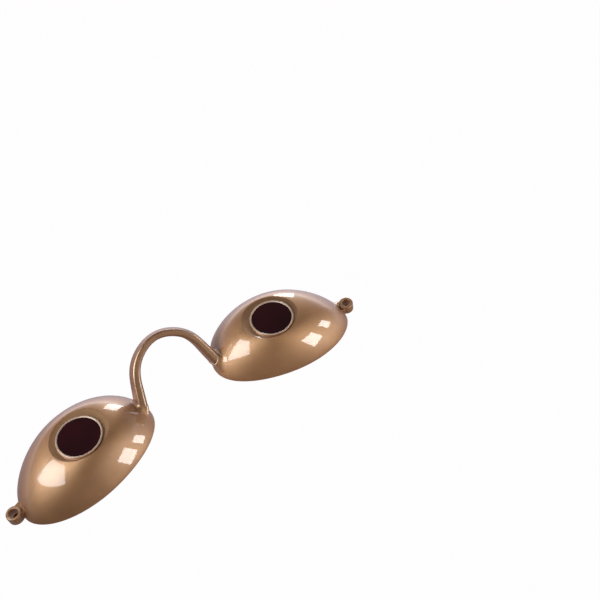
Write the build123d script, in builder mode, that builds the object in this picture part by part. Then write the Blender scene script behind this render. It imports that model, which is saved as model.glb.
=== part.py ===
from build123d import *
from math import sin, cos, tan, radians, pi, copysign
import os

# Tanning goggles: two opaque moulded eyecups, each with a dark filter lens and
# an eyelet for a headband cord, joined by one flexible nose bridge.
# Frame: X from the wearer's one side to the other, +Y towards the brow,
# +Z away from the face. The rims of both eyecups lie in z = 0.
# All lengths in mm, angles in degrees.

# ---- layout of the pair -------------------------------------------------
cup_spacing = 83.6      # between the centres of the two eyecups
cup_droop = 13.7        # each outer tip hangs this far below the X direction
y_shift = -3.04           # puts the middle of the bounding box on the origin

# ---- eyecup shell -------------------------------------------------------
cup_length = 56.0       # along the eyecup's own long axis
cup_half_up = 22.0      # from the long axis to the brow edge
cup_half_low = 15.6     # from the long axis to the cheek edge
tip_blunt_nose = 0.85   # below 1 is blunter than an ellipse
tip_blunt_outer = 1.076
dome_height = 14.8      # top of the lens collar above the rim
dome_side = 1.99        # fullness of the dome towards the crown, brow side
dome_base = 1.385       # fullness of the dome towards the rim, brow side
cheek_side = 1.39       # the same two on the cheek side, which is straighter
cheek_base = 1.285
levels = [0.0, 0.13, 0.285, 0.445, 0.613, 0.761, 0.868, 0.933, 0.97, 0.988]
wall = 1.3

# ---- lens collar --------------------------------------------------------
lens_u = -1.65          # lens axis, along the long axis, + is outwards
lens_v = 0.8            # lens axis, towards the brow
crest_shift = -0.8      # the dish reaches further on the nose side
collar_r = 8.3
collar_sink = 0.55      # dish round the collar, below the dome's crest
bore_r = 7.62
seat_r = 8.75           # counterbore for the lens flange, from inside
seat_ring_r = 9.45
seat_depth = 11.7       # height of the seat ring's lower face
lens_recess = 0.3       # lens face below the collar's lip
lens_step = 12.75       # height of the shoulder that the flange meets
lens_bottom = 11.9
lens_gap = 0.05

# ---- headband eyelet ----------------------------------------------------
eyelet_u = 29.5
eyelet_v = 3.4
eyelet_r = 2.8
eyelet_bore_r = 1.62
eyelet_height = 3.75

eyelet_round = 0.5      # outer edge of its top
eyelet_lead = 0.42      # inner edges of its hole
lip_round = 0.36         # outer edge of the collar's lip
lip_lead = 0.2         # inner edge
lens_round = 0.08

tab_height = 3.0
tab_points = [(24.6, 0.9), (24.6, 6.2), (27.2, 6.1), (28.5, 5.4), (29.5, 3.4), (28.4, 1.0)]

# ---- nose bridge --------------------------------------------------------
crown_w = 3.65          # across the arch's plane, at the crown
crown_t = 2.70          # in the arch's plane, at the crown
root_w = 6.0            # the same two where it enters the necks
root_t = 4.15
crown_draft = 0.1       # each side of the section leans in by this much
root_draft = 0.65       # towards the front, so the front face is the narrower
taper = 1.55            # above 1 keeps the middle of the bridge slender
bridge_round = 0.24     # corner radius as a share of the thickness
arch_lean = 32.7        # lean of the arch's plane from vertical to the brow
root_u = -26.2          # where the bridge enters the neck, in the eyecup
root_v = -0.86
root_z = 4.8
arch_half = [(-14.23, 6.46), (-12.58, 11.38), (-10.21, 15.17), (-6.99, 17.98), (-3.47, 19.70)]
arch_top = 20.27
seam_rise = 1.15        # the neck's mouth above the bridge's root
seam_tilt = 22.6        # the mouth is higher on the side of the dome
seam_lean = 8.1         # and a little lower at the front
plug_length = 3.4       # below the root
plug_w = 3.8
plug_t = 2.2
plug_gap = 0.04
seam_gap = 0.04
neck_rim = 0.2          # ledge of the neck round the bridge
# the neck's sections: depth below the root, extra width, extra thickness,
# and how far the section moves towards the dome
neck_sections = [(-3.2, 0, 0, 0), (-1.2, 0.05, 0.1, 0), (0.4, 0.3, 0.7, 0.25), (2.0, 1.0, 2.2, 1.0), (4.2, 2.6, 5.0, 2.45)]

# ---- frames -------------------------------------------------------------
droop = radians(-cup_droop)
cup_plane = Plane(
    origin=(cup_spacing / 2, y_shift, 0),
    x_dir=(cos(droop), sin(droop), 0),
    z_dir=(0, 0, 1),
)


def outline(inset, angle):
    """Rim outline of the eyecup, in its own frame, for one angle in radians."""
    c, s = cos(angle), sin(angle)
    blunt = tip_blunt_nose if c < 0 else tip_blunt_outer
    half = (cup_half_up if s > 0 else cup_half_low) - inset
    return (cup_length / 2 - inset) * c, half * copysign(abs(s) ** blunt, s)


def level(height, inset, reach, count=32):
    """Points of the level curve at one share of the dome's height."""
    points = []
    for k in range(count):
        angle = 2 * pi * k / count
        cheek = (1 - sin(angle)) / 2
        side = dome_side + (cheek_side - dome_side) * cheek
        base = dome_base + (cheek_base - dome_base) * cheek
        share = 1 - (1 - height**base) ** (1 / side)
        x, y = outline(inset, angle)
        cx, cy = lens_u + crest_shift + reach * cos(angle), lens_v + reach * sin(angle)
        points.append(((1 - share) * x + share * cx, (1 - share) * y + share * cy))
    return points


def in_pair(u, v, z):
    """A point of the outer-right eyecup's frame in the frame of the pair."""
    return (
        cup_spacing / 2 + cos(droop) * u - sin(droop) * v,
        y_shift + sin(droop) * u + cos(droop) * v,
        z,
    )


crest = levels[-1]
crest_z = dome_height * crest

# The bridge's arch lies in one plane, leaning back to the brow.
lean = radians(arch_lean)
root = in_pair(root_u, root_v, root_z)
arch_normal = (0, -cos(lean), sin(lean))


def on_arch(x, h):
    """A point of the arch: x across the pair, h up the leaning plane."""
    return (x, root[1] + h * sin(lean), root[2] + h * cos(lean))


arch_points = (
    [on_arch(-root[0], 0)]
    + [on_arch(x, h) for x, h in arch_half]
    + [on_arch(0, arch_top)]
    + [on_arch(-x, h) for x, h in reversed(arch_half)]
    + [on_arch(root[0], 0)]
)
lead = (0.31, 0.95)     # the bridge leaves the necks leaning a little inwards
rise = Vector(lead[0], lead[1] * sin(lean), lead[1] * cos(lean))
fall = Vector(lead[0], -lead[1] * sin(lean), -lead[1] * cos(lean))
with BuildLine() as arch_path:
    arch = Spline(arch_points, tangents=[rise, fall])
left_end = Plane(origin=arch @ 0, z_dir=arch % 0, x_dir=arch_normal)
right_end = Plane(origin=arch @ 1, z_dir=arch % 1, x_dir=arch_normal)
right_mouth = Plane(
    origin=arch @ 1 - right_end.z_dir * seam_rise,
    x_dir=right_end.x_dir + right_end.z_dir * tan(radians(seam_lean)),
    z_dir=right_end.z_dir - right_end.y_dir * tan(radians(seam_tilt)) - right_end.x_dir * tan(radians(seam_lean)),
)
left_mouth = Plane(
    origin=(-right_mouth.origin.X, right_mouth.origin.Y, right_mouth.origin.Z),
    x_dir=(-right_mouth.x_dir.X, right_mouth.x_dir.Y, right_mouth.x_dir.Z),
    z_dir=(-right_mouth.z_dir.X, right_mouth.z_dir.Y, right_mouth.z_dir.Z),
)


def bridge_size(t):
    """Width, mean thickness and draft of the bridge at a share t of its length."""
    away = abs(2 * t - 1)
    grow = away**taper
    lean_in = sin(pi / 2 * min(1, 1.3 * away)) ** 2
    return (
        crown_w + (root_w - crown_w) * grow,
        crown_t + (root_t - crown_t) * grow,
        crown_draft + (root_draft - crown_draft) * lean_in,
    )


def bridge_section(width, thick, draft, radius, lower=0):
    """Rounded section whose front is narrower than its back by twice the draft."""
    back, front = (thick + draft) / 2, (thick - draft) / 2
    with BuildSketch(mode=Mode.PRIVATE) as section:
        with BuildLine():
            Polyline((-width / 2, -back), (width / 2, -front), (width / 2, front), (-width / 2, back), close=True)
        make_face()
        fillet(section.vertices(), radius)
    with Locations((0, -lower)):
        add(section.sketch)


# ---- neck: flares down from the bridge onto the nose end of the dome ----
with BuildPart() as neck:
    for depth, wider, thicker, lower in neck_sections:
        with BuildSketch(right_end.offset(depth)):
            bridge_section(
                root_w + 2 * neck_rim + wider,
                root_t + 2 * neck_rim + thicker,
                root_draft,
                root_t * bridge_round + neck_rim + 0.3 * wider,
                lower,
            )
    loft()
    split(bisect_by=right_mouth, keep=Keep.TOP)

# ---- right eyecup -------------------------------------------------------
with BuildPart() as right_eyecup:
    # outside of the dome, rim to crest
    for height in levels:
        with BuildSketch(cup_plane.offset(dome_height * height)):
            with BuildLine():
                Spline(level(height, 0, collar_r), periodic=True)
            make_face()
    loft()
    # neck that the bridge plugs into
    add(neck.part)
    # shallow dish round the collar
    with BuildSketch(cup_plane.offset(crest_z)):
        with BuildLine():
            Spline(level(crest, 0, collar_r), periodic=True)
        make_face()
    with BuildSketch(cup_plane.offset(crest_z - collar_sink)):
        with Locations((lens_u, lens_v)):
            Circle(collar_r)
    loft(ruled=True, mode=Mode.SUBTRACT)
    # collar
    with BuildSketch(cup_plane.offset(crest_z - collar_sink - 1)):
        with Locations((lens_u, lens_v)):
            Circle(collar_r)
    extrude(amount=dome_height - crest_z + collar_sink + 1)
    # eyelet for the headband cord, on a short tab
    with BuildSketch(cup_plane):
        with Locations((eyelet_u, eyelet_v)):
            Circle(eyelet_r)
    extrude(amount=eyelet_height)
    with BuildSketch(cup_plane):
        with BuildLine():
            Polyline(tab_points, close=True)
        make_face()
    extrude(amount=tab_height)
    # hollow inside, with the wall left all round
    for height in levels:
        with BuildSketch(cup_plane.offset((dome_height - wall) * height)):
            with BuildLine():
                Spline(level(height, wall, collar_r), periodic=True)
            make_face()
    loft(mode=Mode.SUBTRACT)
    # seat ring and stepped bore for the lens
    with BuildSketch(cup_plane.offset(seat_depth)):
        with Locations((lens_u, lens_v)):
            Circle(seat_ring_r)
    extrude(amount=crest_z - collar_sink - seat_depth - 0.3)
    with BuildSketch(cup_plane.offset(seat_depth - 1)):
        with Locations((lens_u, lens_v)):
            Circle(seat_r)
    extrude(amount=lens_step - seat_depth + 1, mode=Mode.SUBTRACT)
    with BuildSketch(cup_plane.offset(seat_depth - 1)):
        with Locations((lens_u, lens_v)):
            Circle(bore_r)
    extrude(amount=dome_height - seat_depth + 2, mode=Mode.SUBTRACT)
    # hole through the eyelet
    with BuildSketch(cup_plane.offset(-1)):
        with Locations((eyelet_u, eyelet_v)):
            Circle(eyelet_bore_r)
    extrude(amount=eyelet_height + 2, mode=Mode.SUBTRACT)
    # blind socket for the bridge's plug
    with BuildSketch(right_end):
        RectangleRounded(plug_w + 1.9, plug_t + 1.9, 1.2)
    extrude(amount=plug_length + 1.0)
    with BuildSketch(right_end.offset(-4)):
        RectangleRounded(plug_w + 2 * plug_gap, plug_t + 2 * plug_gap, 0.6 + plug_gap)
    extrude(amount=4 + plug_length + 0.1, mode=Mode.SUBTRACT)
    # nothing below the rim
    with BuildSketch(Plane.XY):
        Rectangle(300, 300)
    extrude(amount=-20, mode=Mode.SUBTRACT)
    # rounded edges of the eyelet and of the collar's lip
    rings = right_eyecup.edges().filter_by(GeomType.CIRCLE)
    fillet(rings.filter_by(lambda e: abs(e.radius - eyelet_r) < 0.01 and abs(e.center().Z - eyelet_height) < 0.01), eyelet_round)
    rings = right_eyecup.edges().filter_by(GeomType.CIRCLE)
    fillet(rings.filter_by(lambda e: abs(e.radius - eyelet_bore_r) < 0.01), eyelet_lead)
    rings = right_eyecup.edges().filter_by(GeomType.CIRCLE)
    fillet(rings.filter_by(lambda e: abs(e.radius - collar_r) < 0.01 and abs(e.center().Z - dome_height) < 0.01), lip_round)
    rings = right_eyecup.edges().filter_by(GeomType.CIRCLE)
    fillet(rings.filter_by(lambda e: abs(e.radius - bore_r) < 0.01 and abs(e.center().Z - dome_height) < 0.01), lip_lead)

# ---- left eyecup: the right one mirrored across the pair ----------------
with BuildPart() as left_eyecup:
    mirror(objects=right_eyecup.part, about=Plane.YZ)

# ---- lenses: a dark disc with a flange that seats from inside -----------
with BuildPart() as right_lens:
    with BuildSketch(cup_plane.offset(lens_bottom)):
        with Locations((lens_u, lens_v)):
            Circle(seat_r - lens_gap)
    extrude(amount=lens_step - lens_bottom)
    with BuildSketch(cup_plane.offset(lens_step)):
        with Locations((lens_u, lens_v)):
            Circle(bore_r - lens_gap)
    extrude(amount=dome_height - lens_recess - lens_step)
    fillet(right_lens.edges().group_by(Axis.Z)[-1], lens_round)
with BuildPart() as left_lens:
    mirror(objects=right_lens.part, about=Plane.YZ)

# ---- nose bridge: one flexible strap with a plug at each end ------------
with BuildPart() as nose_bridge:
    for k in range(17):
        t = k / 16
        width, thick, draft = bridge_size(t)
        with BuildSketch(Plane(origin=arch @ t, z_dir=arch % t, x_dir=arch_normal)):
            bridge_section(width, thick, draft, thick * bridge_round)
    loft()
    split(bisect_by=right_mouth.offset(-seam_gap), keep=Keep.BOTTOM)
    split(bisect_by=left_mouth.offset(-seam_gap), keep=Keep.BOTTOM)
    for end, way in ((left_end, -1), (right_end, 1)):
        with BuildSketch(end.offset(-way * 3)):
            RectangleRounded(plug_w, plug_t, 0.6)
        extrude(amount=way * (3 + plug_length))
print('nose bridge length', round(arch.length, 2))

# ---- labels and files ---------------------------------------------------
os.makedirs("parts", exist_ok=True)
left_eyecup.part.label = "left_eyecup"
export_step(left_eyecup.part, "parts/left_eyecup.step")
right_eyecup.part.label = "right_eyecup"
export_step(right_eyecup.part, "parts/right_eyecup.step")
left_lens.part.label = "left_lens"
export_step(left_lens.part, "parts/left_lens.step")
right_lens.part.label = "right_lens"
export_step(right_lens.part, "parts/right_lens.step")
nose_bridge.part.label = "nose_bridge"
export_step(nose_bridge.part, "parts/nose_bridge.step")
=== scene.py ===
"""Looks of the tanning goggles: bronze pearl eyecups, dark red filter lenses, flexible bridge."""

import math

import bpy
import numpy as np
from mathutils import Matrix, Vector
from mathutils.bvhtree import BVHTree


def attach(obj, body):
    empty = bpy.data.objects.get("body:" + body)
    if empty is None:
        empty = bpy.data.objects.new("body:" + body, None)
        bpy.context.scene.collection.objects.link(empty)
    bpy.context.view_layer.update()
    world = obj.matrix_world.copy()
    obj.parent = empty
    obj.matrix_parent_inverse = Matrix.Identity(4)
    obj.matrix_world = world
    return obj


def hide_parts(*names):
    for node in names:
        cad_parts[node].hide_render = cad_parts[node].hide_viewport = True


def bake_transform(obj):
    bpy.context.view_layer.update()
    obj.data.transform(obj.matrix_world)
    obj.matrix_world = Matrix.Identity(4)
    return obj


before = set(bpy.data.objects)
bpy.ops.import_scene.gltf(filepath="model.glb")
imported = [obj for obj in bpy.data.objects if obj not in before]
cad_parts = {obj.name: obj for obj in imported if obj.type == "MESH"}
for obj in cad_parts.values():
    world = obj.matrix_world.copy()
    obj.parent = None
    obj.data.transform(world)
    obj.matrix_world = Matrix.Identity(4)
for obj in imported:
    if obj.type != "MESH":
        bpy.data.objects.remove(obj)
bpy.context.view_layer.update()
MM = 0.001

# ---------------------------------------------------------------- camera
# 600 x 600 frame. The position and the axes are in the frame of the object.
cam_data = bpy.data.cameras.new("camera")
camera = bpy.data.objects.new("camera", cam_data)
bpy.context.scene.collection.objects.link(camera)
right = Vector((0.80798, -0.58177, -0.09330)).normalized()
back = Vector((-0.31311, -0.55810, 0.76843)).normalized()
up = back.cross(right).normalized()
right = up.cross(back).normalized()
turn = Matrix((right, up, back)).transposed().to_4x4()
turn.translation = Vector((-41.576, -171.602, 248.318)) * MM
camera.matrix_world = turn
cam_data.sensor_width = 36.0
cam_data.lens = 47.9635
cam_data.clip_start = 0.01
cam_data.clip_end = 20.0
bpy.context.scene.camera = camera

# ---------------------------------------------------------------- sizes, mm
SPACING, DROOP, Y_SHIFT = 83.6, math.radians(-13.7), -3.04
LENGTH, HALF_UP, HALF_LOW = 56.0, 22.0, 15.6
BLUNT_NOSE, BLUNT_OUTER = 0.85, 1.076
HEIGHT = 14.8
SIDE, BASE, CHEEK_SIDE, CHEEK_BASE = 1.99, 1.385, 1.39, 1.285
CREST, DISH_FLOOR = 0.976, 14.0
WALL = 1.3
LENS_U, LENS_V, CREST_SHIFT = -1.65, 0.8, -0.8
COLLAR_R, BORE_R, SEAT_R, RING_R = 8.3, 7.62, 8.75, 9.45
SEAT_Z, STEP_Z = 11.7, 12.75
EYE_U, EYE_V, EYE_R, EYE_BORE, EYE_H = 29.5, 3.4, 2.8, 1.62, 3.75
TAB = [(27.3, 0.9), (25.95, 6.2), (27.2, 6.1), (28.5, 5.4), (29.5, 3.4), (28.4, 1.0)]
TAB_H, TAB_LEAN = 3.0, 0.52
BOSS_W, BOSS_T, BOSS_R, BOSS_LENGTH = 5.7, 4.1, 1.2, 4.4
CROWN_W, CROWN_T, ROOT_W, ROOT_T, TAPER, ROUND = 3.65, 2.70, 6.0, 4.15, 1.28, 0.24
CROWN_DRAFT, ROOT_DRAFT = 0.1, 0.65
LEAN = math.radians(32.7)
ROOT_U, ROOT_V, ROOT_Z = -26.2, -0.86, 4.8
ARCH_HALF = [(-14.23, 6.46), (-12.58, 11.38), (-10.21, 15.17), (-6.99, 17.98), (-3.47, 19.70)]
ARCH_TOP = 20.27
LEAD = (0.31, 0.95)
SEAM_RISE, SEAM_TILT, SEAM_LEAN, NECK_RIM = 1.15, math.radians(22.6), math.radians(8.1), 0.2
REACH = 1.3


# ---------------------------------------------------------------- eyecup shape
def outline(inset, a):
    c, s = np.cos(a), np.sin(a)
    blunt = np.where(c < 0, BLUNT_NOSE, BLUNT_OUTER)
    half = np.where(s > 0, HALF_UP, HALF_LOW) - inset
    return np.stack([(LENGTH / 2 - inset) * c, half * np.sign(s) * np.abs(s) ** blunt], -1)


def dome(h, a, inset=0.0, height=HEIGHT):
    """Points of the level curve at share h of the height, in the cup's own frame."""
    cheek = (1 - np.sin(a)) / 2
    side = SIDE + (CHEEK_SIDE - SIDE) * cheek
    base = BASE + (CHEEK_BASE - BASE) * cheek
    t = (1 - (1 - h**base) ** (1 / side))[..., None]
    ring = np.stack([LENS_U + CREST_SHIFT + COLLAR_R * np.cos(a), LENS_V + COLLAR_R * np.sin(a)], -1)
    uv = (1 - t) * outline(inset, a) + t * ring
    return np.concatenate([uv, (h * height + 0 * a)[..., None]], -1)


def circle(r, z, a):
    return np.stack([LENS_U + r * np.cos(a), LENS_V + r * np.sin(a), np.full(a.shape, z)], -1)


def to_pair(p, side):
    """From the cup's own frame to the frame of the pair, mirrored for the left cup."""
    p = np.asarray(p, float)
    x = SPACING / 2 + math.cos(DROOP) * p[..., 0] - math.sin(DROOP) * p[..., 1]
    y = Y_SHIFT + math.sin(DROOP) * p[..., 0] + math.cos(DROOP) * p[..., 1]
    return np.stack([side * x, y, p[..., 2]], -1)


def corner(a, b, c, r, k=5):
    """Points that round the corner b between a and c, each an array of points."""
    ab, cb = a - b, c - b
    la = np.linalg.norm(ab, axis=-1, keepdims=True)
    lc = np.linalg.norm(cb, axis=-1, keepdims=True)
    ra, rc = np.minimum(r, 0.45 * la), np.minimum(r, 0.45 * lc)
    p, q = b + ab / la * ra, b + cb / lc * rc
    out = []
    for i in range(k + 1):
        t = i / k
        out.append((1 - t) ** 2 * p + 2 * t * (1 - t) * b + t * t * q)
    return out


class Builder:
    """Collects rings and faces of one mesh."""

    def __init__(self):
        self.verts, self.faces, self.slots = [], [], []

    def add(self, pts):
        start = len(self.verts)
        self.verts.extend(np.asarray(pts, float).reshape(-1, 3).tolist())
        return start

    def grid(self, rows, closed_rows=False, closed_cols=True, flip=False):
        """Quads between rings of equal count."""
        n = len(rows[0])
        starts = [self.add(r) for r in rows]
        pairs = list(zip(starts[:-1], starts[1:]))
        if closed_rows:
            pairs.append((starts[-1], starts[0]))
        for s0, s1 in pairs:
            for i in range(n if closed_cols else n - 1):
                j = (i + 1) % n
                f = (s0 + i, s0 + j, s1 + j, s1 + i)
                self.faces.append(f[::-1] if flip else f)
        return starts

    def cap(self, start, n, flip=False):
        f = tuple(range(start, start + n))
        self.faces.append(f[::-1] if flip else f)

    def mesh(self, name):
        me = bpy.data.meshes.new(name)
        me.from_pydata([tuple(c * MM for c in v) for v in self.verts], [], self.faces)
        for which, slot in self.slots:
            for i in which:
                me.polygons[i].material_index = slot
        me.validate()
        me.update()
        me.polygons.foreach_set("use_smooth", [True] * len(me.polygons))
        ob = bpy.data.objects.new(name, me)
        bpy.context.scene.collection.objects.link(ob)
        return ob


def fix_normals(ob, split=None):
    """Normals outward, smooth, with creases sharper than split degrees kept sharp."""
    import bmesh

    bm = bmesh.new()
    bm.from_mesh(ob.data)
    bmesh.ops.recalc_face_normals(bm, faces=bm.faces)
    if split is not None:
        for e in bm.edges:
            if len(e.link_faces) == 2 and e.calc_face_angle(0.0) > math.radians(split):
                e.smooth = False
    bm.to_mesh(ob.data)
    bm.free()
    ob.data.update()


# angles round the cup: closer together at the nose end and the outer tip
def cup_angles():
    k = np.linspace(0, 2 * math.pi, 2000, endpoint=False)
    dense = 1.0 + 0.9 * np.exp(-(((k - math.pi) / 0.5) ** 2)) + 0.8 * np.exp(
        -((np.minimum(k, 2 * math.pi - k) / 0.35) ** 2)
    )
    c = np.concatenate([[0], np.cumsum(dense)])
    want = np.linspace(0, c[-1], CUP_N, endpoint=False)
    return np.interp(want, c, np.append(k, 2 * math.pi))


CUP_N = 300
ANG = cup_angles()


def shell_rows():
    """Rings of the whole moulded shell, one closed profile round the cup."""
    a = ANG
    q = np.linspace(0.0, 1.0, 92)
    q_top = 1 - (1 - CREST**BASE) ** (1 / SIDE)
    hs = (1 - (1 - q * q_top) ** SIDE) ** (1 / BASE)
    outer = [dome(h, a) for h in hs]
    inner = [dome(h, a, WALL, HEIGHT - WALL) for h in hs[::6]]
    ring_top = circle(RING_R, 0, a)
    crest = outer[-1]
    floor = circle(COLLAR_R, DISH_FLOOR, a)
    lip_out, lip_in = circle(COLLAR_R, HEIGHT, a), circle(BORE_R, HEIGHT, a)
    step_in, step_out = circle(BORE_R, STEP_Z, a), circle(SEAT_R, STEP_Z, a)
    seat_out, ring_low = circle(SEAT_R, SEAT_Z, a), circle(RING_R, SEAT_Z, a)
    # where the seat ring meets the hollow's roof
    ring_up = circle(RING_R, 12.9, a)
    rim_out, rim_in = outer[0], inner[0]
    rows = []
    rows += corner(inner[1], rim_in, rim_out, 0.32)
    rows += corner(rim_in, rim_out, outer[2], 0.32)
    rows += outer[2:-1]
    slope = crest + (floor - crest) * np.array([0.5, 0.5, 0.68])
    rows += corner(outer[-2], crest, slope, 0.10, 4)
    dish_from = len(rows) - 2
    rows += corner(crest, slope, floor, 1.0, 6)
    rows += corner(slope, floor, lip_out, 0.16, 4)
    dish_to = len(rows) - 3
    rows += corner(floor, lip_out, lip_in, 0.32, 6)
    rows += corner(lip_out, lip_in, step_in, 0.32, 6)
    rows += corner(lip_in, step_in, step_out, 0.05, 1)
    rows += corner(step_in, step_out, seat_out, 0.05, 1)
    rows += corner(step_out, seat_out, ring_low, 0.12, 3)
    rows += corner(seat_out, ring_low, ring_up, 0.3, 4)
    last = len(inner) - 1
    rows += [ring_up]
    keep = [r for r in inner[1:] if np.linalg.norm(r[:, :2] - [LENS_U, LENS_V], axis=-1).min() > RING_R + 0.5]
    rows += keep[::-1]
    return rows, dish_from, dish_to


def dome_tree(side):
    """The outside of the dome alone, to seat the neck on."""
    b = Builder()
    a = np.linspace(0, 2 * math.pi, 240, endpoint=False)
    q_top = 1 - (1 - CREST**BASE) ** (1 / SIDE)
    hs = (1 - (1 - np.linspace(0, 1, 90) * q_top) ** SIDE) ** (1 / BASE)
    b.grid([to_pair(dome(h, a), side) for h in hs])
    return BVHTree.FromPolygons([Vector(v) for v in b.verts], b.faces)


# ---------------------------------------------------------------- the arch of the bridge
def in_pair(u, v, z):
    return to_pair(np.array([u, v, z]), 1)


ROOT = in_pair(ROOT_U, ROOT_V, ROOT_Z)
NORMAL = np.array([0.0, -math.cos(LEAN), math.sin(LEAN)])
UP = np.array([0.0, math.sin(LEAN), math.cos(LEAN)])


def on_arch(x, h):
    return np.array([x, ROOT[1], ROOT[2]]) + h * UP * np.array([0, 1, 1])


knots = [(-ROOT[0], 0.0)] + ARCH_HALF + [(0.0, ARCH_TOP)] + [(-x, h) for x, h in reversed(ARCH_HALF)] + [(ROOT[0], 0.0)]
knots = np.array(knots)
lead = np.array(LEAD) / np.hypot(*LEAD)


def clamped_spline(t, y, d0, d1):
    """Second derivatives of the cubic spline through y with end slopes d0 and d1."""
    n = len(t)
    m = np.zeros((n, n))
    r = np.zeros((n,) + y.shape[1:])
    h = np.diff(t)
    m[0, 0], m[0, 1] = 2 * h[0], h[0]
    r[0] = 6 * ((y[1] - y[0]) / h[0] - d0)
    m[-1, -2], m[-1, -1] = h[-1], 2 * h[-1]
    r[-1] = 6 * (d1 - (y[-1] - y[-2]) / h[-1])
    for i in range(1, n - 1):
        m[i, i - 1], m[i, i], m[i, i + 1] = h[i - 1], 2 * (h[i - 1] + h[i]), h[i]
        r[i] = 6 * ((y[i + 1] - y[i]) / h[i] - (y[i] - y[i - 1]) / h[i - 1])
    return np.linalg.solve(m, r)


chord = np.concatenate([[0], np.cumsum(np.linalg.norm(np.diff(knots, axis=0), axis=1))])
second = clamped_spline(chord, knots, lead, lead * np.array([1, -1]))


def arch_point(s):
    i = np.clip(np.searchsorted(chord, s) - 1, 0, len(chord) - 2)
    h = chord[i + 1] - chord[i]
    u, v = (chord[i + 1] - s), (s - chord[i])
    y = (
        second[i] * (u**3)[:, None] / (6 * h)[:, None]
        + second[i + 1] * (v**3)[:, None] / (6 * h)[:, None]
        + (knots[i] / h[:, None] - second[i] * h[:, None] / 6) * u[:, None]
        + (knots[i + 1] / h[:, None] - second[i + 1] * h[:, None] / 6) * v[:, None]
    )
    return y


fine = np.linspace(0, chord[-1], 4001)
fine_p = arch_point(fine)
fine_len = np.concatenate([[0], np.cumsum(np.linalg.norm(np.diff(fine_p, axis=0), axis=1))])
ARCH_LEN = fine_len[-1]


def arch_at(t):
    """Points (x, h in the plane) and unit tangents at shares t of the arch's length."""
    s = np.interp(np.asarray(t) * ARCH_LEN, fine_len, fine)
    p = arch_point(s)
    e = 1e-3
    q = arch_point(np.clip(s + e, 0, chord[-1])) - arch_point(np.clip(s - e, 0, chord[-1]))
    return p, q / np.linalg.norm(q, axis=1, keepdims=True)


def rounded_section(w, t, draft, r, per=9, flat=5):
    """Offsets (towards the front, outward in the arch's plane) round the strap's section.

    The front is narrower than the back by twice the draft. Every section has the same
    number of points, so rings can be joined one to one.
    """
    back, front = (t + draft) / 2, (t - draft) / 2
    corners = [(w / 2, front), (-w / 2, back), (-w / 2, -back), (w / 2, -front)]
    radii = [r, r, r, 1.35 * r]  # the front corner inside the arch is the softest
    arcs = []
    for k in range(4):
        p0, p1, p2 = (np.array(corners[(k + i) % 4]) for i in (-1, 0, 1))
        a, b = p0 - p1, p2 - p1
        a, b = a / np.linalg.norm(a), b / np.linalg.norm(b)
        half = math.acos(np.clip(a @ b, -1, 1)) / 2
        reach = radii[k] / math.tan(half)
        centre = p1 + (a + b) / np.linalg.norm(a + b) * (radii[k] / math.sin(half))
        start, end = p1 + a * reach - centre, p1 + b * reach - centre
        a0 = math.atan2(start[1], start[0])
        turn = (math.atan2(end[1], end[0]) - a0 + math.pi) % (2 * math.pi) - math.pi
        arcs.append([centre + radii[k] * np.array([math.cos(a0 + turn * i / (per - 1)), math.sin(a0 + turn * i / (per - 1))]) for i in range(per)])
    pts = []
    for k in range(4):
        pts += arcs[k]
        nxt = arcs[(k + 1) % 4][0]
        for i in range(1, flat + 1):
            pts.append(arcs[k][-1] + (nxt - arcs[k][-1]) * i / (flat + 1))
    return np.array(pts)


def strap_ring(t, per=9, flat=5):
    """One ring of the strap's surface, at share t of the arch."""
    p, d = arch_at(np.array([t]))
    p, d = p[0], d[0]
    away = abs(2 * t - 1)
    g = away**TAPER
    w = CROWN_W + (ROOT_W - CROWN_W) * g
    th = CROWN_T + (ROOT_T - CROWN_T) * g
    lean_in = math.sin(math.pi / 2 * min(1.0, 1.3 * away)) ** 2
    sec = rounded_section(w, th, CROWN_DRAFT + (ROOT_DRAFT - CROWN_DRAFT) * lean_in, th * ROUND, per, flat)
    # a fine parting line runs along the front edge on the outside of the arch
    inward = -sec[per - 1] / np.linalg.norm(sec[per - 1])
    sec[per - 1] += inward * 0.05
    centre = on_arch(p[0], p[1])
    out2 = np.array([-d[1], d[0]])  # in-plane normal, on the outside of the arch
    outward = np.array([out2[0], 0, 0]) + out2[1] * UP
    return centre + sec[:, :1] * NORMAL + sec[:, 1:] * outward


def strap_half(name, first, last, rings):
    b = Builder()
    ts = np.linspace(first, last, rings)
    rows = [strap_ring(t) for t in ts]
    # the end that goes on into the neck
    if first == 0.0:
        p, d = arch_at(np.array([0.0]))
        d3 = np.array([d[0][0], 0, 0]) + d[0][1] * UP
        rows = [rows[0] - d3 * k for k in (1.2, 0.6)] + rows
    if last == 1.0:
        p, d = arch_at(np.array([1.0]))
        d3 = np.array([d[0][0], 0, 0]) + d[0][1] * UP
        rows = rows + [rows[-1] + d3 * k for k in (0.6, 1.2)]
    starts = b.grid(rows)
    n = len(rows[0])
    if first == 0.0:
        b.cap(starts[0], n)
    if last == 1.0:
        b.cap(starts[-1], n)
    ob = b.mesh(name)
    fix_normals(ob, 60)
    return ob


# ---------------------------------------------------------------- neck
def right_frame():
    p, d = arch_at(np.array([1.0]))
    d3 = np.array([d[0][0], 0, 0]) + d[0][1] * UP  # into the cup
    x = NORMAL
    y = np.cross(d3, x)
    return on_arch(p[0][0], p[0][1]), x, y, d3


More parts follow.
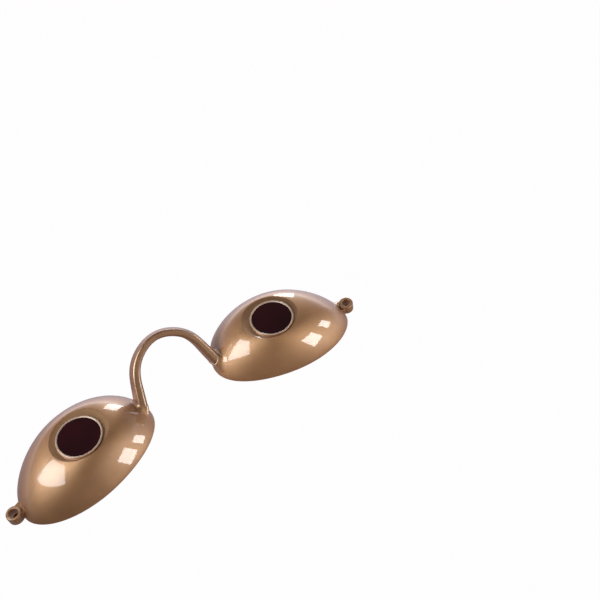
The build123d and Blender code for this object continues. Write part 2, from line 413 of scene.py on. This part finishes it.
def neck_rows(tree):
    """Rings of the right cup's neck: from inside the mouth, over its edge, down onto the dome."""
    o, x, y, z = right_frame()

    def mouth(grow, drop=0.0):
        """The strap's section grown by grow, on the plane of the mouth, lower by drop."""
        s = rounded_section(ROOT_W + 2 * grow, ROOT_T + 2 * grow, ROOT_DRAFT, ROOT_T * ROUND + grow, per=13, flat=9)
        depth = -SEAM_RISE + math.tan(SEAM_TILT) * s[:, 1] + math.tan(SEAM_LEAN) * s[:, 0] + drop
        return o + s[:, :1] * x + s[:, 1:] * y + depth[:, None] * z

    edge = mouth(NECK_RIM)
    inner = mouth(-0.25)
    deep = mouth(-0.25, 1.2)
    foot, height, out_dir = [], [], []
    centre = edge.mean(0)
    for p in edge:
        hit = tree.ray_cast(Vector(p - z * 0.0), Vector(z), 30.0)
        if hit[0] is None:
            near = tree.find_nearest(Vector(p))
            foot.append(np.array(near[0])); height.append(0.05)
        else:
            foot.append(np.array(hit[0])); height.append(max(0.05, hit[3]))
    foot, height = np.array(foot), np.array(height)
    # a smooth height round the neck
    for _ in range(6):
        height = (np.roll(height, 1) + 2 * height + np.roll(height, -1)) / 4
    # the wall sweeps out onto the dome
    reach = np.clip(REACH * height, 0.10, 2.5)
    side_way = foot - (centre + z * ((foot - centre) @ z)[:, None])
    side_way /= np.linalg.norm(side_way, axis=1, keepdims=True)
    loc, tan, sink = [], [], []
    for i, p in enumerate(foot):
        near = tree.find_nearest(Vector(p + side_way[i] * reach[i]))
        q, nor = np.array(near[0]), np.array(near[1])
        if np.dot(nor, z) > 0:
            nor = -nor
        t = side_way[i] - nor * np.dot(side_way[i], nor)
        loc.append(q)
        tan.append(t / np.linalg.norm(t))
        sink.append(nor)
    loc, tan, sink = np.array(loc), np.array(tan), np.array(sink)
    top = mouth(NECK_RIM)
    rows = [deep, inner]
    rows += corner(inner, top, top + z * 0.8, 0.15, 5)
    start = top + z * 0.15
    low = foot - z * np.minimum(reach, np.maximum(0.0, height - 0.16))[:, None]
    for k in (0.25, 0.5, 0.75):
        rows.append(start + (low - start) * k)
    # the sweep leaves the wall and lands on the dome without a crease
    bend = low + (0.9 * z + 0.3 * side_way) * (0.5 * np.linalg.norm(loc - low, axis=1))[:, None]
    bend = bend - sink * np.einsum("ij,ij->i", bend - loc, sink)[:, None]
    for t in np.linspace(0, 1, 11):
        rows.append((1 - t) ** 2 * low + 2 * t * (1 - t) * bend + t * t * loc)
    rows.append(loc + tan * 0.12 - sink * 0.05)
    for row in rows:
        row[:, 2] = np.maximum(row[:, 2], 0.0)
    return rows


# ---------------------------------------------------------------- eyelet
def eyelet_rows():
    a = np.linspace(0, 2 * math.pi, 72, endpoint=False)

    def ring(r, z):
        return np.stack([EYE_U + r * np.cos(a), EYE_V + r * np.sin(a), np.full(a.shape, z)], -1)

    p = [ring(EYE_BORE, 0), ring(EYE_R, 0), ring(EYE_R, EYE_H), ring(EYE_BORE, EYE_H)]
    rows = []
    rows += corner(p[3], p[0], p[1], 0.12, 3)
    rows += corner(p[0], p[1], p[2], 0.3, 4)
    rows += corner(p[1], p[2], p[3], 0.7, 8)
    rows += corner(p[2], p[3], p[0], 0.42, 7)
    return rows


def tab_rows():
    pts = np.array(TAB)
    mid = pts.mean(0)
    # a denser outline with rounded corners
    out = []
    n = len(pts)
    for i in range(n):
        a, b, c = pts[i - 1], pts[i], pts[(i + 1) % n]
        for q in corner(a[None], b[None], c[None], 0.5, 4):
            out.append(q[0])
    out = np.array(out)
    # the outer side ends in the wall of the eyelet and leaves the cord hole open
    chord = np.sqrt(np.clip(2.1**2 - (out[:, 1] - EYE_V) ** 2, 0.0, None))
    inside = np.clip((27.6 - out[:, 0]) / 0.8, 0, 1)
    out[:, 0] = np.where(chord > 0, np.minimum(out[:, 0], EYE_U - chord), out[:, 0])

    # the inner side leans with the shell's wall and stays inside it

    def ring(shrink, z):
        p = mid + (out - mid) * (1 - shrink)
        p[:, 0] -= TAB_LEAN * z * inside
        return np.concatenate([p, np.full((len(p), 1), z)], -1)

    return [ring(0, 0.04), ring(0, 1.4), ring(0, TAB_H - 0.3), ring(0.03, TAB_H - 0.12), ring(0.09, TAB_H)]


def boss_rows():
    """The blind boss inside the hollow that takes the bridge's plug."""
    o, x, y, z = right_frame()
    rows = []
    for depth, less in ((1.0, 0.0), (BOSS_LENGTH - 0.5, 0.0), (BOSS_LENGTH - 0.25, 0.07), (BOSS_LENGTH - 0.07, 0.25), (BOSS_LENGTH, 0.55)):
        s = rounded_section(BOSS_W - 2 * less, BOSS_T - 2 * less, 0.0, BOSS_R - less)
        ring = o + s[:, :1] * x + s[:, 1:] * y + depth * z
        ring[:, 2] = np.maximum(ring[:, 2], 0.03)
        rows.append(ring)
    return rows


# ---------------------------------------------------------------- pieces
rows, dish_from, dish_to = shell_rows()
neck = neck_rows(dome_tree(1))
eyelet, tab, boss = eyelet_rows(), tab_rows(), boss_rows()
cups = {}
for side, word in ((1, "right"), (-1, "left")):
    b = Builder()
    b.grid([to_pair(r, side) for r in rows], closed_rows=True)
    # the dish's faces take the darker material: painted shade in the recess
    b.slots.append((range(dish_from * CUP_N, dish_to * CUP_N), 2))
    flip = np.array([side, 1, 1])
    # the rim of the mouth takes a paler bronze all round: a painted highlight
    first = len(b.faces) + len(neck[0])
    b.grid([r * flip for r in neck])
    b.slots.append((range(first, first + 6 * len(neck[0])), 1))
    starts = b.grid([r * flip for r in boss])
    b.cap(starts[-1], len(boss[0]))
    b.grid([to_pair(r, side) for r in eyelet], closed_rows=True)
    starts = b.grid([to_pair(r, side) for r in tab])
    b.cap(starts[-1], len(tab[0]))
    b.cap(starts[0], len(tab[0]))
    ob = b.mesh(f"{word}_cup_shell")
    fix_normals(ob, 50)
    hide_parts(f"{word}_eyecup")
    cups[word] = ob

left_strap = strap_half("bridge_left_half", 0.0, 0.5, 90)
right_strap = strap_half("bridge_right_half", 0.5, 1.0, 90)
for ob in (left_strap, right_strap):
    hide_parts("nose_bridge")


# ---------------------------------------------------------------- materials
def nodes_of(name):
    m = bpy.data.materials.new(name)
    m.use_nodes = True
    nt = m.node_tree
    nt.nodes.clear()
    out = nt.nodes.new("ShaderNodeOutputMaterial")
    sh = nt.nodes.new("ShaderNodeBsdfPrincipled")
    nt.links.new(sh.outputs[0], out.inputs[0])
    return m, nt, sh


def new(nt, kind, **inputs):
    n = nt.nodes.new(kind)
    for k, v in inputs.items():
        if k in n.inputs:
            n.inputs[k].default_value = v
        else:
            setattr(n, k, v)
    return n


def ramp(nt, source, stops):
    r = nt.nodes.new("ShaderNodeValToRGB")
    e = r.color_ramp.elements
    while len(e) > 1:
        e.remove(e[-1])
    e[0].position, e[0].color = stops[0][0], stops[0][1]
    for pos, col in stops[1:]:
        x = e.new(pos)
        x.color = col
    nt.links.new(source, r.inputs[0])
    return r


def math_node(nt, op, a, b=None, clamp=False):
    n = nt.nodes.new("ShaderNodeMath")
    n.operation = op
    n.use_clamp = clamp
    for i, v in enumerate((a, b)):
        if v is None:
            continue
        if isinstance(v, (int, float)):
            n.inputs[i].default_value = v
        else:
            nt.links.new(v, n.inputs[i])
    return n.outputs[0]


def bronze(name, gold, brown, share, roughness, coat, coat_rough, sheen, weld=None, lip=None):
    """Moulded plastic with a bronze pearl: flat golden flakes over a brown body, under a gloss skin."""
    m, nt, flake = nodes_of(name)
    out = next(n for n in nt.nodes if n.type == "OUTPUT_MATERIAL")
    body = nt.nodes.new("ShaderNodeBsdfPrincipled")
    both = nt.nodes.new("ShaderNodeMixShader")
    # the flakes lie flat in the plastic, so fewer of them glint where it is seen at a glance
    facing = new(nt, "ShaderNodeLayerWeight", Blend=0.5)
    amount = nt.nodes.new("ShaderNodeMapRange")
    amount.interpolation_type = "SMOOTHSTEP"
    amount.inputs["From Min"].default_value = 0.0
    amount.inputs["From Max"].default_value = 0.95
    amount.inputs["To Min"].default_value = share
    amount.inputs["To Max"].default_value = 0.3 * share
    nt.links.new(facing.outputs["Facing"], amount.inputs["Value"])
    nt.links.new(amount.outputs[0], both.inputs[0])
    nt.links.new(body.outputs[0], both.inputs[1])
    nt.links.new(flake.outputs[0], both.inputs[2])
    nt.links.new(both.outputs[0], out.inputs[0])
    coord = nt.nodes.new("ShaderNodeTexCoord")
    # pearl flakes, about 0.12 mm
    cells = new(nt, "ShaderNodeTexVoronoi", Scale=7500.0)
    nt.links.new(coord.outputs["Object"], cells.inputs["Vector"])
    grain = nt.nodes.new("ShaderNodeSeparateColor")
    nt.links.new(cells.outputs["Color"], grain.inputs[0])
    # soft swirl of the pigment, about 6 mm
    swirl = new(nt, "ShaderNodeTexNoise", Scale=160.0, Detail=3.0, Roughness=0.5)
    nt.links.new(coord.outputs["Object"], swirl.inputs["Vector"])
    mixed = math_node(nt, "MULTIPLY_ADD", grain.outputs[0], 0.22)
    nt.links.new(swirl.outputs["Fac"], mixed.node.inputs[2])
    shade = ramp(nt, mixed, [(0.35, (0.86, 0.85, 0.84, 1)), (0.85, (1.0, 1.0, 1.0, 1))])
    # faint unevenness of the moulded skin, about 5 mm across
    peel = new(nt, "ShaderNodeTexNoise", Scale=210.0, Detail=2.0, Roughness=0.45)
    nt.links.new(coord.outputs["Object"], peel.inputs["Vector"])
    relief = math_node(nt, "MULTIPLY", peel.outputs["Fac"], 0.035)
    if weld is not None:
        # the line where the plastic met in the mould: a fine groove, deepest at the dish
        (ax, ay), (bx, by), depth = weld
        length = math.hypot(bx - ax, by - ay)
        tx, ty = (bx - ax) / length, (by - ay) / length
        sep = nt.nodes.new("ShaderNodeSeparateXYZ")
        nt.links.new(coord.outputs["Object"], sep.inputs[0])

        def plane(cx, cy, c0):
            first = math_node(nt, "MULTIPLY_ADD", sep.outputs["X"], cx)
            first.node.inputs[2].default_value = c0
            second = math_node(nt, "MULTIPLY_ADD", sep.outputs["Y"], cy)
            nt.links.new(first, second.node.inputs[2])
            return second

        across = plane(-ty, tx, (ty * ax - tx * ay) * MM)
        wave = math_node(nt, "MULTIPLY_ADD", peel.outputs["Fac"], 0.0009)
        wave.node.inputs[2].default_value = -0.00045
        across = math_node(nt, "ABSOLUTE", math_node(nt, "ADD", across, wave))
        along = plane(tx, ty, -(tx * ax + ty * ay) * MM)

        def window(value, stops):
            return ramp(nt, math_node(nt, "MULTIPLY", value, 1 / (length * MM)), [(q, (v, v, v, 1)) for q, v in stops]).outputs[0]

        ends = window(along, [(0.0, 0.0), (0.012, 1.0), (0.10, 0.75), (0.45, 0.5), (0.85, 0.35), (1.0, 0.0)])
        line = nt.nodes.new("ShaderNodeMapRange")
        line.interpolation_type = "SMOOTHSTEP"
        line.inputs["From Min"].default_value = 0.00003
        line.inputs["From Max"].default_value = 0.00016
        line.inputs["To Min"].default_value = depth
        line.inputs["To Max"].default_value = 0.0
        nt.links.new(across, line.inputs["Value"])
        weld_mask = math_node(nt, "MULTIPLY", line.outputs[0], ends)
        relief = math_node(nt, "SUBTRACT", relief, weld_mask)
        tone = ramp(nt, weld_mask, [(0.0, (1, 1, 1, 1)), (1.0, (0.42, 0.38, 0.36, 1))])
        both_tones = nt.nodes.new("ShaderNodeMix")
        both_tones.data_type, both_tones.blend_type = "RGBA", "MULTIPLY"
        both_tones.inputs[0].default_value = 1.0
        nt.links.new(shade.outputs[0], both_tones.inputs[6])
        nt.links.new(tone.outputs[0], both_tones.inputs[7])
        shade_out = both_tones.outputs[2]
    else:
        shade_out = shade.outputs[0]
    if lip is not None:
        # a ring mask on the lip round the lens, where the painted highlight goes
        here = nt.nodes.new("ShaderNodeSeparateXYZ")
        nt.links.new(coord.outputs["Object"], here.inputs[0])
        off_x = math_node(nt, "SUBTRACT", here.outputs["X"], lip[0] * MM)
        off_y = math_node(nt, "SUBTRACT", here.outputs["Y"], lip[1] * MM)
        far = math_node(nt, "SQRT", math_node(nt, "ADD", math_node(nt, "MULTIPLY", off_x, off_x), math_node(nt, "MULTIPLY", off_y, off_y)))
        near_rim = ramp(nt, math_node(nt, "MULTIPLY", far, 100.0), [(0.745, (0, 0, 0, 1)), (0.77, (1, 1, 1, 1)), (0.80, (1, 1, 1, 1)), (0.83, (0, 0, 0, 1))])
        high = ramp(nt, math_node(nt, "MULTIPLY", here.outputs["Z"], 60.0), [(0.845, (0, 0, 0, 1)), (0.87, (1, 1, 1, 1))])
        lip_highlight_mask = math_node(nt, "MULTIPLY", near_rim.outputs[0], high.outputs[0])
    skin = new(nt, "ShaderNodeBump", Strength=1.0, Distance=0.00006)
    nt.links.new(relief, skin.inputs["Height"])
    for base, target in ((gold, flake), (brown, body)):
        col = nt.nodes.new("ShaderNodeMix")
        col.data_type, col.blend_type = "RGBA", "MULTIPLY"
        col.inputs[0].default_value = 1.0
        col.inputs[6].default_value = base + (1.0,)
        nt.links.new(shade_out, col.inputs[7])
        last = col.outputs[2]
        if lip is not None:
            # the lip round the lens is painted pale: a painted highlight along its rounded edge
            pale = nt.nodes.new("ShaderNodeMix")
            pale.data_type, pale.blend_type = "RGBA", "MIX"
            pale.inputs[7].default_value = tuple(c + (1.0 - c) * k for c, k in zip(base, (0.35, 0.33, 0.28))) + (1.0,)
            nt.links.new(lip_highlight_mask, pale.inputs[0])
            nt.links.new(last, pale.inputs[6])
            last = pale.outputs[2]
        nt.links.new(last, target.inputs["Base Color"])
    # roughness varies a little with handling
    smear = new(nt, "ShaderNodeTexNoise", Scale=420.0, Detail=4.0, Roughness=0.6)
    nt.links.new(coord.outputs["Object"], smear.inputs["Vector"])
    rough = nt.nodes.new("ShaderNodeMapRange")
    rough.inputs["To Min"].default_value = roughness - 0.035
    rough.inputs["To Max"].default_value = roughness + 0.035
    nt.links.new(smear.outputs["Fac"], rough.inputs["Value"])
    nt.links.new(rough.outputs[0], flake.inputs["Roughness"])
    # the flakes tilt the metallic layer, not the gloss skin
    bump = new(nt, "ShaderNodeBump", Strength=0.10, Distance=0.00004)
    nt.links.new(grain.outputs[1], bump.inputs["Height"])
    nt.links.new(bump.outputs[0], flake.inputs["Normal"])
    nt.links.new(skin.outputs[0], flake.inputs["Coat Normal"])
    nt.links.new(skin.outputs[0], body.inputs["Coat Normal"])
    flake.inputs["Metallic"].default_value = 1.0
    body.inputs["Metallic"].default_value = 0.0
    body.inputs["Roughness"].default_value = 0.45
    body.inputs["Specular IOR Level"].default_value = 0.9
    for shader in (flake, body):
        shader.inputs["Coat Weight"].default_value = coat
        shader.inputs["Coat Roughness"].default_value = coat_rough
        shader.inputs["Coat IOR"].default_value = 1.56
        # a bloom of fine flakes shows pale where the surface turns away
        shader.inputs["Sheen Weight"].default_value = sheen
        shader.inputs["Sheen Roughness"].default_value = 0.35
        shader.inputs["Sheen Tint"].default_value = (0.86, 0.84, 1.0, 1.0)
    return m


shell_look = ((0.755, 0.448, 0.208), (0.262, 0.098, 0.039), 0.58, 0.585, 1.0, 0.055, 0.16)
lens_at = to_pair(np.array([LENS_U, LENS_V, 0.0]), 1)
# the dish is painted darker than the dome: painted shade in the recess round the lens
dish_painted_shade_look = tuple(tuple(0.80 * c for c in colour) for colour in shell_look[:2]) + shell_look[2:]
shell_mats, dish_painted_shade_mats = {}, {}
for word, side, weld in (("left", -1, ((-50.0, -2.6), (-67.0, -8.0), 1.0)), ("right", 1, ((30.2, 0.42), (26.6, 0.25), 0.9))):
    at = (side * lens_at[0], lens_at[1])
    shell_mats[word] = bronze("bronze_pearl_" + word, *shell_look, weld=weld, lip=at)
    dish_painted_shade_mats[word] = bronze("bronze_pearl_dish_painted_shade_" + word, *dish_painted_shade_look, weld=weld)
# a paler copy of the bronze for the mouth's rim: a painted highlight
edge_highlight_mat = bronze("bronze_pearl_edge_painted_highlight", (0.86, 0.62, 0.40), (0.45, 0.25, 0.15), 0.5, 0.45, 1.0, 0.06, 0.2)
strap_mat = bronze("bronze_flexible_vinyl", (0.54, 0.33, 0.175), (0.24, 0.09, 0.036), 0.55, 0.42, 0.8, 0.08, 0.05)

lens_mat, lens_nt, lens_sh = nodes_of("dark_red_filter")
coord = lens_nt.nodes.new("ShaderNodeTexCoord")
cloud = new(lens_nt, "ShaderNodeTexNoise", Scale=90.0, Detail=2.0, Roughness=0.4)
lens_nt.links.new(coord.outputs["Object"], cloud.inputs["Vector"])
tint = ramp(lens_nt, cloud.outputs["Fac"], [(0.3, (0.020, 0.0034, 0.0045, 1)), (0.7, (0.034, 0.0045, 0.0060, 1))])
lens_nt.links.new(tint.outputs[0], lens_sh.inputs["Base Color"])
scuff = new(lens_nt, "ShaderNodeTexNoise", Scale=2600.0, Detail=3.0, Roughness=0.6)
lens_nt.links.new(coord.outputs["Object"], scuff.inputs["Vector"])
lr = lens_nt.nodes.new("ShaderNodeMapRange")
lr.inputs["To Min"].default_value = 0.05
lr.inputs["To Max"].default_value = 0.11
lens_nt.links.new(scuff.outputs["Fac"], lr.inputs["Value"])
lens_nt.links.new(lr.outputs[0], lens_sh.inputs["Roughness"])

for word, ob in cups.items():
    ob.data.materials.append(shell_mats[word])
    ob.data.materials.append(edge_highlight_mat)
    ob.data.materials.append(dish_painted_shade_mats[word])
for ob in (left_strap, right_strap):
    ob.data.materials.append(strap_mat)
for n in ("left_lens", "right_lens"):
    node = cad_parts[n]
    node.data.materials.clear()
    node.data.materials.append(lens_mat)
for word in ("left", "right"):
    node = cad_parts[word + "_eyecup"]
    node.data.materials.clear()
    node.data.materials.append(shell_mats[word])
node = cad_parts["nose_bridge"]
node.data.materials.clear()
node.data.materials.append(strap_mat)

# ---------------------------------------------------------------- motion
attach(cups["left"], "left_cup")
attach(cups["right"], "right_cup")
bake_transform(left_strap)
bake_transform(right_strap)

# ---------------------------------------------------------------- floor
# it lies below the lowest pose, so that the cups never dip into it
bpy.ops.mesh.primitive_plane_add(size=6.0, location=(0, 0, -0.052))
floor = bpy.context.object
floor.name = "floor"
floor_mat, fnt, fsh = nodes_of("pale_floor")
fn = new(fnt, "ShaderNodeTexNoise", Scale=3.0, Detail=2.0)
fr = ramp(fnt, fn.outputs["Fac"], [(0.3, (0.12, 0.12, 0.12, 1)), (0.7, (0.14, 0.14, 0.14, 1))])
fnt.links.new(fr.outputs[0], fsh.inputs["Base Color"])
fsh.inputs["Roughness"].default_value = 0.9
fsh.inputs["Specular IOR Level"].default_value = 0.0
fsh.inputs["Emission Color"].default_value = (1.0, 0.99, 1.0, 1.0)
fsh.inputs["Emission Strength"].default_value = 0.985
floor.data.materials.append(floor_mat)
floor.visible_glossy = False
floor.visible_shadow = False

# a patch of shade under the cord hole of each eyelet, clear wherever the hole isn't right above it
shade_mat, hnt, hsh = nodes_of("cord_hole_shade")
hn = new(hnt, "ShaderNodeTexNoise", Scale=900.0, Detail=2.0)
hr = ramp(hnt, hn.outputs["Fac"], [(0.3, (0.050, 0.027, 0.018, 1)), (0.7, (0.065, 0.034, 0.022, 1))])
hnt.links.new(hr.outputs[0], hsh.inputs["Base Color"])
hsh.inputs["Roughness"].default_value = 0.9
hsh.inputs["Specular IOR Level"].default_value = 0.0
nook = new(hnt, "ShaderNodeAmbientOcclusion", Distance=0.006)
nook.samples = 8
open_above = ramp(hnt, nook.outputs["AO"], [(0.45, (0, 0, 0, 1)), (0.7, (1, 1, 1, 1))])
clear = hnt.nodes.new("ShaderNodeBsdfTransparent")
dark_or_clear = hnt.nodes.new("ShaderNodeMixShader")
hnt.links.new(open_above.outputs[0], dark_or_clear.inputs[0])
hnt.links.new(hsh.outputs[0], dark_or_clear.inputs[1])
hnt.links.new(clear.outputs[0], dark_or_clear.inputs[2])
shown = next(n for n in hnt.nodes if n.type == "OUTPUT_MATERIAL")
hnt.links.new(dark_or_clear.outputs[0], shown.inputs[0])
for side in (-1, 1):
    mid = to_pair(np.array([EYE_U, EYE_V, 0.0]), side)
    turn = np.linspace(0.0, 2.0 * np.pi, 48, endpoint=False)
    edge = [((mid[0] + 2.2 * math.cos(t)) * MM, (mid[1] + 2.2 * math.sin(t)) * MM, -0.08 * MM) for t in turn]
    disc = bpy.data.meshes.new("cord_hole_shade")
    disc.from_pydata(edge, [], [tuple(range(48))])
    disc.materials.append(shade_mat)
    patch = bpy.data.objects.new("cord_hole_shade", disc)
    bpy.context.scene.collection.objects.link(patch)
    patch.visible_glossy = patch.visible_shadow = patch.visible_diffuse = False


# ---------------------------------------------------------------- light
def softbox(name, centre, edge_a, edge_b, radiance, color=(1, 1, 1), only=None):
    """A rectangular softbox from its centre and two edges, all in mm. It faces the goggles, or lights only some of their pieces."""
    c, u, v = Vector(centre) * MM, Vector(edge_a) * MM, Vector(edge_b) * MM
    lamp = bpy.data.lights.new(name, "AREA")
    lamp.shape = "RECTANGLE"
    lamp.size, lamp.size_y = u.length, v.length
    lamp.energy = 4.0 * u.length * v.length * radiance
    lamp.color = color
    ob = bpy.data.objects.new(name, lamp)
    bpy.context.scene.collection.objects.link(ob)
    x = u.normalized()
    z = x.cross(v.normalized()).normalized()
    if z.dot(c) < 0:
        z = -z
    y = z.cross(x)
    m = Matrix((x, y, z)).transposed().to_4x4()
    m.translation = c
    ob.matrix_world = m
    ob.visible_camera = False
    if only:
        lit = bpy.data.collections.new(name + "_lights")
        for piece in only:
            lit.objects.link(piece)
        ob.light_linking.receiver_collection = lit
    return ob


# in the photograph the two cups lean a few degrees apart, so each has the small boxes where it sees them
sides = {
    "left": [cups["left"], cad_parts["left_lens"]],
    "right": [cups["right"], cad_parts["right_lens"], left_strap, right_strap],
}
small = {
    "left": (((156.3, -225.5, -60.5), (-71.2, -20.3, -29.3), (-44.5, 13.0, 99.3)), ((831.0, -500.8, -162.8), (-146.9, -112.2, -45.0), (-53.2, -37.6, 267.5))),
    "right": (((188.9, -265.0, 53.0), (-113.9, -5.3, -56.6), (-37.8, 44.4, 71.8)), ((899.2, -457.9, 311.2), (-181.6, -183.0, -47.7), (-121.9, 74.6, 178.0))),
}
power = {"left": (5.1, 7.5), "right": (5.6, 8.6)}
for word, lit in sides.items():
    near, distant = small[word]
    key, front = power[word]
    softbox("key_" + word, (-146.0, 16.5, 175.0), (68.0, -119.0, -224.0), (21.9, 124.6, -54.1), key, (0.94, 0.99, 1.07), lit)
    softbox("front_large_" + word, *near, front, only=lit)
    softbox("front_small_" + word, *distant, front, only=lit)
    softbox("rear_" + word, (603.0, 768.0, 215.0), (-234.6, -322.7, 248.6), (-113.8, 220.7, 179.3), 6.5, only=lit)

world = bpy.data.worlds.new("studio")
bpy.context.scene.world = world
world.use_nodes = True
wn = world.node_tree
wn.nodes.clear()
wo = wn.nodes.new("ShaderNodeOutputWorld")
bg = wn.nodes.new("ShaderNodeBackground")
tc = wn.nodes.new("ShaderNodeTexCoord")
sep = wn.nodes.new("ShaderNodeSeparateXYZ")
wn.links.new(tc.outputs["Generated"], sep.inputs[0])
wr = ramp(wn, math_node(wn, "MULTIPLY_ADD", sep.outputs["Z"], 0.5), [
    (0.0, (0.22, 0.205, 0.23, 1)),
    (0.32, (0.40, 0.38, 0.44, 1)),
    (0.44, (0.70, 0.67, 0.76, 1)),
    (0.50, (1.35, 1.31, 1.40, 1)),
    (0.54, (1.40, 1.36, 1.42, 1)),
    (0.60, (0.50, 0.48, 0.49, 1)),
    (0.71, (0.15, 0.14, 0.145, 1)),
    (1.0, (0.09, 0.085, 0.09, 1)),
])
wr.inputs[0].links[0].from_node.inputs[2].default_value = 0.5
# the side behind the goggles is brighter than the side the picture is taken from
turned = math_node(wn, "MULTIPLY_ADD", sep.outputs["X"], 0.28)
wn.links.new(math_node(wn, "MULTIPLY_ADD", sep.outputs["Y"], 0.34), turned.node.inputs[2])
turned.node.inputs[2].links[0].from_node.inputs[2].default_value = 0.47
behind = wn.nodes.new("ShaderNodeMapRange")
behind.interpolation_type = "SMOOTHSTEP"
behind.inputs["From Min"].default_value = 0.60
behind.inputs["From Max"].default_value = 0.95
behind.inputs["To Min"].default_value = 0.0
behind.inputs["To Max"].default_value = 0.8
side_on = math_node(wn, "MULTIPLY_ADD", sep.outputs["X"], 0.5)
wn.links.new(math_node(wn, "MULTIPLY", sep.outputs["Y"], 0.86), side_on.node.inputs[2])
wn.links.new(side_on, behind.inputs["Value"])
turned = math_node(wn, "ADD", turned, behind.outputs[0])
wn.links.new(wr.outputs[0], bg.inputs[0])
wn.links.new(turned, bg.inputs[1])
# seen past the edge of the floor, the studio is as pale as the floor
backdrop = new(wn, "ShaderNodeBackground", Strength=0.94)
seen = wn.nodes.new("ShaderNodeLightPath")
either = wn.nodes.new("ShaderNodeMixShader")
wn.links.new(seen.outputs["Is Camera Ray"], either.inputs[0])
wn.links.new(bg.outputs[0], either.inputs[1])
wn.links.new(backdrop.outputs[0], either.inputs[2])
wn.links.new(either.outputs[0], wo.inputs[0])

bpy.context.scene.view_settings.view_transform = "Standard"
bpy.context.scene.view_settings.look = "None"
bpy.context.scene.view_settings.exposure = 0.0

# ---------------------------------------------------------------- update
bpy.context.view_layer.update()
